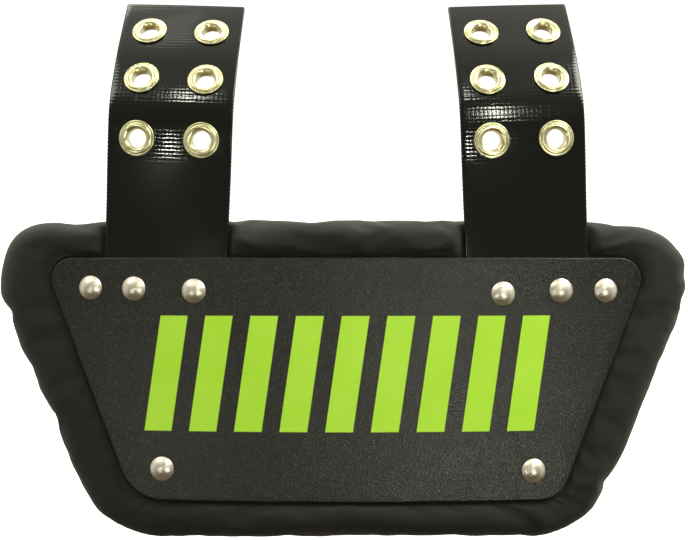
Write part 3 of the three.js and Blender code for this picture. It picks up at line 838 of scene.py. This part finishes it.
def padEdge():
    height = pad["above"] + plate["height"] + pad["below"]
    loop = trapezoidLoop({
        "top": pad["above"], "bottom": -plate["height"] - pad["below"],
        "topLeft": -pad["topLeft"], "topRight": pad["topRight"],
        "bottomLeft": -pad["bottomHalf"], "bottomRight": pad["bottomHalf"],
        "radii": [pad["topRadius"]] * 2 + [pad["bottomRadius"]] * 2}, pad["steps"], pad["cornerSteps"])
    drop = (pad["above"] - loop[:, 1]) / height
    sideways = np.minimum(1, np.abs(loop[:, 0]) / pad["bottomHalf"]) ** pad["puckerFade"]
    for edge, at, swell, spread in pad["puckers"]:
        bulge = (np.sign(loop[:, 0]) == edge) * edge * swell * pad["thickness"] * sideways
        loop[:, 0] += bulge * np.exp(-((drop - at) / spread) ** 2)
    places, drops = zip(*pad["sag"])
    high = smooth(loop[:, 1], -pad["topRadius"] / 2, pad["above"] - pad["sagWhole"])
    loop[:, 1] -= np.interp(loop[:, 0], places, drops) * high
    return loop


# Points of a smooth curve through a table of pairs
def smoothRun(table, count):
    table = np.array(table, dtype=float)
    ends = np.concatenate([[2 * table[0] - table[1]], table, [2 * table[-1] - table[-2]]])
    run = []
    for t in np.linspace(0, len(table) - 1.0001, count):     # stays short of the last pair
        k, s = int(t), t - int(t)
        a, b, c, d = ends[k:k + 4]
        run.append(0.5 * (2 * b + (c - a) * s + (2 * a - 5 * b + 4 * c - d) * s ** 2
                          + (3 * b - a - 3 * c + d) * s ** 3))
    return np.array(run)


def makePad():
    recess = trapezoidLoop(plateShape(pad["recessMargin"]), pad["steps"], pad["cornerSteps"])
    edge = padEdge()
    middle = np.array([0, -plate["height"] / 2])
    count = len(recess)
    floorDepth = plate["thickness"] + seatGap
    rear = pad["thickness"] - pad["crestRise"]
    rings, reaches = [], []

    def ring(places, depth, reach):
        rings.append(bowed(places, depth))
        reaches.append(reach)

    for share in pad["floorRings"]:
        ring(middle + (recess - middle) * share, floorDepth, -1)
    for reach, depth in smoothRun(pad["section"], pad["sectionSteps"]):
        ring(recess + (edge - recess) * reach, depth * pad["thickness"] - pad["crestRise"], reach)
    for share in pad["rearRings"]:
        ring(middle + (recess - middle) * share, rear, -1)
    points = np.concatenate([[[0, floorDepth, middle[1]]], *rings, [[0, rear, middle[1]]]])
    reach = np.concatenate([[-1], np.repeat(reaches, count), [-1]])
    behind = points[:, 1] - bowDepth(points[:, 0]) > pad["thickness"] * pad["rearFrom"]
    points = pressStraps(points)
    piece = newPiece("foam_pad", points, ringFaces(len(rings), count), coverFabric)
    # Sewn down in the recess, held loosely over the rear, free over the roll
    hold = np.where(reach < cover["sewnReach"], 1.0,
                    np.where(behind & (reach < cover["rearReach"]), cover["rearHold"], cover["rollHold"]))
    hold = np.maximum(hold, grooveShare(points))
    inflate(piece, hold)
    refine(piece)
    points = gatherCover(piece, recess, edge)
    points = pressStraps(points)
    points = dimpleRear(points)
    writePoints(piece, points)
    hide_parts("pad")


def readPoints(piece):
    flat = np.zeros(len(piece.data.vertices) * 3)
    piece.data.vertices.foreach_get("co", flat)
    return (flat.reshape(-1, 3) - np.array([0, plateFront, plateTop])) * 1000


def writePoints(piece, points):
    piece.data.vertices.foreach_set("co", toRow(points).reshape(-1))
    piece.data.update()


cover = {
    # how far out from the recess it is sewn down, how much of the rear is held, and how firmly
    "sewnReach": 0.04, "rearReach": 0.7, "rearHold": 0.6, "rollHold": 0.03,
    "frames": 15, "quality": 4, "pressure": 3.0, "slack": 0.017, "mostMove": 1.9,
    "mass": 0.25, "stretch": 14, "shear": 4, "bending": 0.6, "airDamping": 3,
    # degrees round the pad's middle from its right, spread in degrees and depth of the fine gathers
    "gathers": ((207, 14, 1.0), (329, 12, 0.6), (9, 9, 0.7), (178, 10, 0.4), (150, 8, 0.4)),
    "gatherPitch": 8, "leastGather": 0.15, "gatherShift": 0.3,
    # as shares of the way out: where gathers start, and how they fade; and their slant and length
    "gatherStart": (-0.02, 0.06), "gatherFade": 0.4, "outerGather": 0.35, "gatherSlant": 0.6,
    "gatherLength": 1.3,
}


# The cover is cut a little larger than the foam and blown up from inside, so that it gathers into the
# puckers of a turned and stitched roll
def inflate(piece, hold):
    before = readPoints(piece)
    group = piece.vertex_groups.new(name="held")
    for level in np.unique(hold):
        group.add([int(i) for i in np.flatnonzero(hold == level)], float(level), "REPLACE")
    cloth = piece.modifiers.new("cover", "CLOTH")
    s = cloth.settings
    s.quality = cover["quality"]
    s.mass = cover["mass"]
    s.tension_stiffness = s.compression_stiffness = cover["stretch"]
    s.shear_stiffness = cover["shear"]
    s.bending_stiffness = cover["bending"]
    s.air_damping = cover["airDamping"]
    s.use_pressure = True
    s.uniform_pressure_force = cover["pressure"]
    s.vertex_group_mass = "held"
    s.pin_stiffness = 1
    s.shrink_min = s.shrink_max = -cover["slack"]
    s.effector_weights.gravity = 0
    cloth.collision_settings.use_collision = False
    cloth.point_cache.frame_start = 1
    cloth.point_cache.frame_end = cover["frames"]
    scene = bpy.context.scene
    for step in range(1, cover["frames"] + 1):
        scene.frame_set(step)
    applyModifiers(piece)
    scene.frame_set(1)
    move = readPoints(piece) - before
    length = np.linalg.norm(move, axis=1)[:, None]
    most = cover["mostMove"]
    print("cover moved up to", round(float(length.max()), 2), "mm, mean", round(float(length.mean()), 2))
    writePoints(piece, before + move * most * np.tanh(length / most) / np.maximum(length, 1e-6))


def refine(piece):
    finer = piece.modifiers.new("finer", "SUBSURF")
    finer.levels = finer.render_levels = 1
    applyModifiers(piece)


# Fine gathers across the roll, deepest in the crease beside the plate and at the corners
def gatherCover(piece, recess, edge):
    points = readPoints(piece)
    normals = np.zeros(len(points) * 3)
    piece.data.vertices.foreach_get("normal", normals)
    middle = np.array([0, -plate["height"] / 2])
    local = points[:, [0, 2]] - middle
    turn = np.degrees(np.arctan2(local[:, 1], local[:, 0])) % 360

    def radiusAt(loop):
        turns = np.degrees(np.arctan2(loop[:, 1] - middle[1], loop[:, 0])) % 360
        order = np.argsort(turns)
        return np.interp(turn, turns[order], np.linalg.norm(loop - middle, axis=1)[order], period=360)

    inner, outer = radiusAt(recess), radiusAt(edge)
    reach = (np.linalg.norm(local, axis=1) - inner) / (outer - inner)
    depth = np.full(len(points), float(cover["leastGather"]))
    for at, spread, most in cover["gathers"]:
        depth += most * np.exp(-(((turn - at + 180) % 360 - 180) / spread) ** 2)
    least = cover["outerGather"]
    depth *= smooth(reach, *cover["gatherStart"]) * (
        least + (1 - least) * np.exp(-(reach / cover["gatherFade"]) ** 2))
    pitch = cover["gatherPitch"]
    along = np.radians(turn) * inner
    for i in np.flatnonzero(depth > 0.01):
        place = Vector((along[i] / pitch + reach[i] * cover["gatherSlant"],
                        reach[i] * cover["gatherLength"], 0))
        depth[i] *= noise.noise(place) - cover["gatherShift"]
    return points + normals.reshape(-1, 3) * depth[:, None]


# How far a point lies in a strap's groove, from 0 to 1
def grooveShare(points):
    x, y, z = points.T
    lean = math.tan(math.radians(strap["lean"]))
    out = np.abs(np.abs(x) - (strap["spacing"] / 2 - z * lean)) - strap["width"] / 2
    end = -strap["tail"]
    front = y < pad["grooveDepth"] + bowDepth(x)
    return (1 - smooth(out, *pad["grooveEdge"])) * smooth(z, end - pad["grooveEnd"], end) * front


# The border is pressed back behind each strap, and stands up beside it
def pressStraps(points):
    x, y, z = points.T
    behind = strapMiddle + strap["thickness"] / 2 + seatGap + bowDepth(x)
    pressed = np.where(y < behind, y + (behind - y) * grooveShare(points), y)
    return np.stack([x, pressed, z], axis=1)


# A dimple in the rear round each set washer
def dimpleRear(points):
    for _, x, z in rivetPlaces():
        washer = x + x / bowRadius * pad["washerAway"]
        near = np.hypot(points[:, 0] - washer, points[:, 2] - z)
        seat = rivet["grip"] - pad["dimplePast"] + bowDepth(points[:, 0])
        pull = (1 - smooth(near, *pad["dimple"])) * (points[:, 1] > seat)
        points[:, 1] += (seat - points[:, 1]) * pull
    return points


makePad()
print("pad made")


# Studio
studio = {
    "ambient": 1.0, "tint": "#fdfff0",
    # place along the sky from -1 to 1 turned to 0 to 1, and the colour there
    "frontToBack": ((0.02, "#6c6c65"), (0.13, "#787871"), (0.3, "#bdbdb6"), (0.5, "#fdfff0")),
    "lowToHigh": ((0.2, "#84735f"), (0.45, "#ffffff")),
    # name, degrees right and up of straight in front, distance, width and height in metres, watts
    "lamps": (
        ("right_low_lamp", 22, -17, 1.5, 0.35, 0.35, 6), ("overhead_softbox", 5, 106, 1.1, 1.1, 0.35, 9),
        ("right_softbox", 68, 46, 1.5, 0.7, 0.7, 16), ("left_softbox", -58, 45, 1.6, 0.6, 0.6, 5),
        ("left_low_lamp", -32, -19, 1.6, 0.35, 0.25, 2.4),
    ),
    "lampAim": -20,      # height that the lamps are turned to, in millimetres
    # name, side, place on the strap that throws it back at the camera (mm out, mm up), how far it is
    # lowered from there, width and height in metres, and how bright it looks
    "glints": (
        ("left_window", -1, 1, 71, 0.17, 0.018, 0.14, 9), ("left_tube", -1, -10, 98, 0, 0.04, 0.2, 2.8),
        ("left_haze", -1, 4, 146, 0, 0.03, 0.2, 0.2), ("right_tube", 1, -16, 88, 0, 0.03, 0.4, 3.2),
        ("right_window", 1, -36, 68, 0.15, 0.04, 0.14, 6), ("right_strip", 1, -36, 100, 0, 0.04, 0.12, 2),
    ),
    "glintDistance": 1.5, "strapMirror": 0.045,          # metres, and how much the coating mirrors
}
# Metres: how far the floor drops below the object, reaches forward and sideways, and curves up behind
paper = {"drop": 0.012, "front": -3.0, "half": 5, "bend": 1.2, "radius": 1.0, "back": 2.2, "height": 4,
         "steps": 12, "colour": "#f4f4f4", "roughness": 0.95, "glow": "#ffffff", "glowStrength": 0.75}


def addLight(name, place, aim, width, height, power):
    data = bpy.data.lights.new(name, "AREA")
    data.shape = "RECTANGLE"
    data.size = width
    data.size_y = height
    data.energy = power
    data.color = linear(studio["tint"])[:3]
    light = bpy.data.objects.new(name, data)
    light.location = place
    light.rotation_euler = (Vector(aim) - Vector(place)).to_track_quat("-Z", "Y").to_euler()
    bpy.context.collection.objects.link(light)


# Pale paper swept up behind, seen by the camera alone
def addStage():
    low, radius = cadBox[0][2] - paper["drop"], paper["radius"]
    profile = [(paper["front"], low)]
    for t in np.linspace(0, math.pi / 2, paper["steps"]):
        profile.append((paper["bend"] + radius * math.sin(t), low + radius - radius * math.cos(t)))
    profile.append((paper["back"], low + paper["height"]))
    points = [(x, y, z) for y, z in profile for x in (-paper["half"], paper["half"])]
    faces = [(2 * i, 2 * i + 1, 2 * i + 3, 2 * i + 2) for i in range(len(profile) - 1)]
    mesh = bpy.data.meshes.new("studio_sweep")
    mesh.from_pydata(points, [], faces)
    mesh.polygons.foreach_set("use_smooth", [True] * len(mesh.polygons))
    material, shader = newMaterial("whitePaperSweep")
    setUp(material, shader, Base_Color=linear(paper["colour"]), Roughness=paper["roughness"],
          Emission_Color=linear(paper["glow"]), Emission_Strength=paper["glowStrength"])
    mesh.materials.append(material)
    sweep = bpy.data.objects.new("studio_sweep", mesh)
    bpy.context.collection.objects.link(sweep)
    sweep.visible_glossy = False
    sweep.visible_diffuse = False


# Dim in front, bright overhead and behind, so that glossy black stays black and metal still shines
def addWorld():
    world = bpy.data.worlds.new("studio")
    world.use_nodes = True
    place = node(world, "ShaderNodeTexCoord").outputs["Generated"]
    colours = []
    for axis, stops in (("Y", studio["frontToBack"]), ("Z", studio["lowToHigh"])):
        parts = node(world, "ShaderNodeSeparateXYZ", {0: place})
        span = node(world, "ShaderNodeMapRange", {"Value": parts.outputs[axis]}, From_Min=-1)
        ramp = node(world, "ShaderNodeValToRGB", {"Fac": span.outputs["Result"]})
        rampColours(ramp, stops)
        colours.append(ramp.outputs["Color"])
    mix = node(world, "ShaderNodeMix", {6: colours[0], 7: colours[1]}, data_type="RGBA",
               blend_type="MULTIPLY", Factor=1)
    setUp(world, world.node_tree.nodes["Background"], {"Color": mix.outputs[2]},
          Strength=studio["ambient"])
    bpy.context.scene.world = world


# A lamp by its direction from the plate's middle, in degrees right and up from straight in front
def addLamp(name, right, up, distance, width, height, power):
    middle = Vector(toRow([0, 0, studio["lampAim"]]))
    right, up = math.radians(right), math.radians(up)
    away = Vector((math.sin(right) * math.cos(up), -math.cos(right) * math.cos(up), math.sin(up)))
    addLight(name, middle + away * distance, middle, width, height, power)


# A lamp that one place on a strap mirrors into the camera
def addGlint(name, side, out, length, lowered, width, height, shine):
    axes, centre = strapFrame(side, out, length)
    place = Vector(toRow(centre))
    towards = (bpy.context.scene.camera.location - place).normalized()
    facing = Vector(axes[2])
    away = 2 * facing.dot(towards) * facing - towards
    power = shine / studio["strapMirror"] * math.pi * width * height
    lamp = place + away * studio["glintDistance"] - Vector((0, 0, lowered))
    addLight(name, lamp, place, width, height, power)


addStage()
addWorld()
for lamp in studio["lamps"]:
    addLamp(*lamp)
for glint in studio["glints"]:
    addGlint(*glint)
bpy.context.scene.view_settings.view_transform = "Standard"
print("studio lit")
